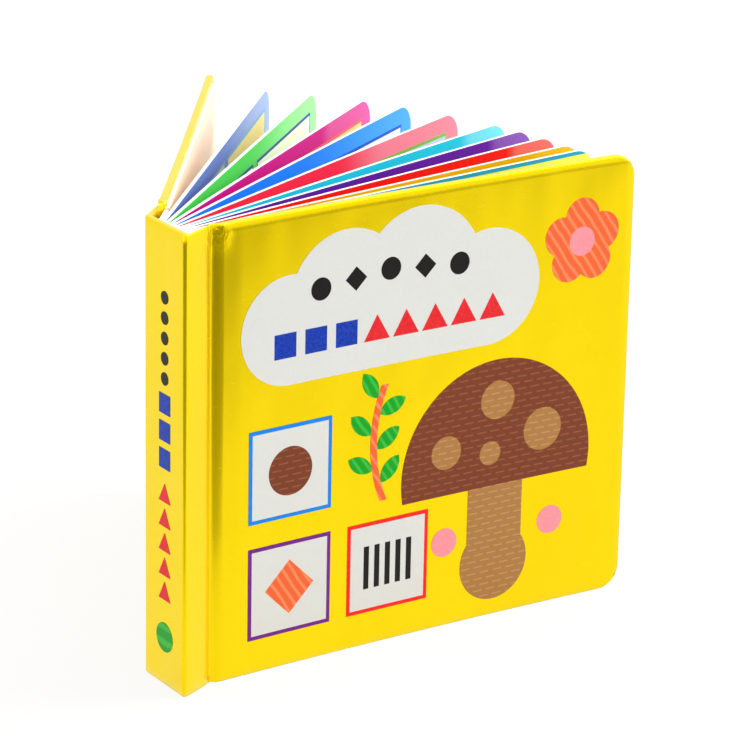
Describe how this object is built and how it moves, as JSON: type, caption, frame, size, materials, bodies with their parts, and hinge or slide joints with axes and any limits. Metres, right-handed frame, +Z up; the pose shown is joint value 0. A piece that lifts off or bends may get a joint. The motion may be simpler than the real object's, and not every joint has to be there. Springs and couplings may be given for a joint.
{
  "type": "hardcover picture book",
  "caption": "Children's board book in a yellow hard case, standing upright with its thick coloured leaves fanned; both covers turn on the joint grooves beside the spine.",
  "frame": {"origin": "middle of the spine's foot, on the surface that the book stands on", "axes": "+X along the closed front cover towards its fore-edge, +Y through the spine towards the back cover, +Z up"},
  "size_m": [0.2108, 0.1972, 0.185],
  "materials": {
    "wrap": "film-laminated, satin to glossy",
    "grey_board": "uncoated",
    "leaf_board": "uncoated white edges, coated faces",
    "page_colour_0": "coated print",
    "page_colour_1": "coated print",
    "page_colour_2": "coated print",
    "page_colour_3": "coated print",
    "page_colour_4": "coated print",
    "page_colour_5": "coated print",
    "page_colour_6": "coated print",
    "page_colour_7": "coated print",
    "page_colour_8": "coated print",
    "page_colour_9": "coated print",
    "page_colour_10": "coated print",
    "panel_cream": "coated print",
    "panel_yellow": "coated print",
    "panel_blue": "coated print",
    "print_pale": "film-laminated print",
    "print_dark": "film-laminated print",
    "print_blue": "film-laminated print",
    "print_red": "film-laminated print",
    "print_brown": "film-laminated print",
    "print_tan": "film-laminated print",
    "print_green": "film-laminated print",
    "print_orange": "film-laminated print",
    "print_pink": "film-laminated print",
    "print_frame_blue": "film-laminated print",
    "print_frame_purple": "film-laminated print",
    "print_frame_red": "film-laminated print",
    "print_spine_dark": "film-laminated print",
    "print_spine_green": "film-laminated print"
  },
  "bodies": {
    "spine": {"wrap_spine": "wrap", "spine_board": "grey_board", "pages": "leaf_board", "page_print_0": "page_colour_0", "page_print_1": "page_colour_1", "page_print_2": "page_colour_2", "page_print_3": "page_colour_3", "page_print_4": "page_colour_4", "page_print_5": "page_colour_5", "page_print_6": "page_colour_6", "page_print_7": "page_colour_7", "page_print_8": "page_colour_8", "page_print_9": "page_colour_9", "page_print_10": "page_colour_10", "page_panels_cream": "panel_cream", "page_panels_yellow": "panel_yellow", "page_panels_blue": "panel_blue", "spine_print_dark": "print_spine_dark", "spine_print_blue": "print_blue", "spine_print_red": "print_red", "spine_print_green": "print_spine_green"},
    "front_cover": {"wrap_front": "wrap", "front_board": "grey_board", "front_pasted_leaf": "leaf_board", "front_pasted_print": "page_colour_10", "front_print_pale": "print_pale", "front_print_dark": "print_dark", "front_print_blue": "print_blue", "front_print_red": "print_red", "front_print_brown": "print_brown", "front_print_tan": "print_tan", "front_print_green": "print_green", "front_print_orange": "print_orange", "front_print_pink": "print_pink", "front_print_frame_blue": "print_frame_blue", "front_print_frame_purple": "print_frame_purple", "front_print_frame_red": "print_frame_red"},
    "back_cover": {"wrap_back": "wrap", "back_board": "grey_board", "back_pasted_leaf": "leaf_board", "back_pasted_print": "page_colour_0"}
  },
  "joints": [
    {"name": "front_hinge", "type": "hinge", "parent": "spine", "child": "front_cover", "pos_m": [0.01474, -0.00638, 0.0925], "axis": [0, 0, -1], "range_deg": [0, 95]},
    {"name": "back_hinge", "type": "hinge", "parent": "spine", "child": "back_cover", "pos_m": [0.01303, 0.02547, 0.0925], "axis": [0, 0, 1], "range_deg": [-5, 41.5]}
  ]
}
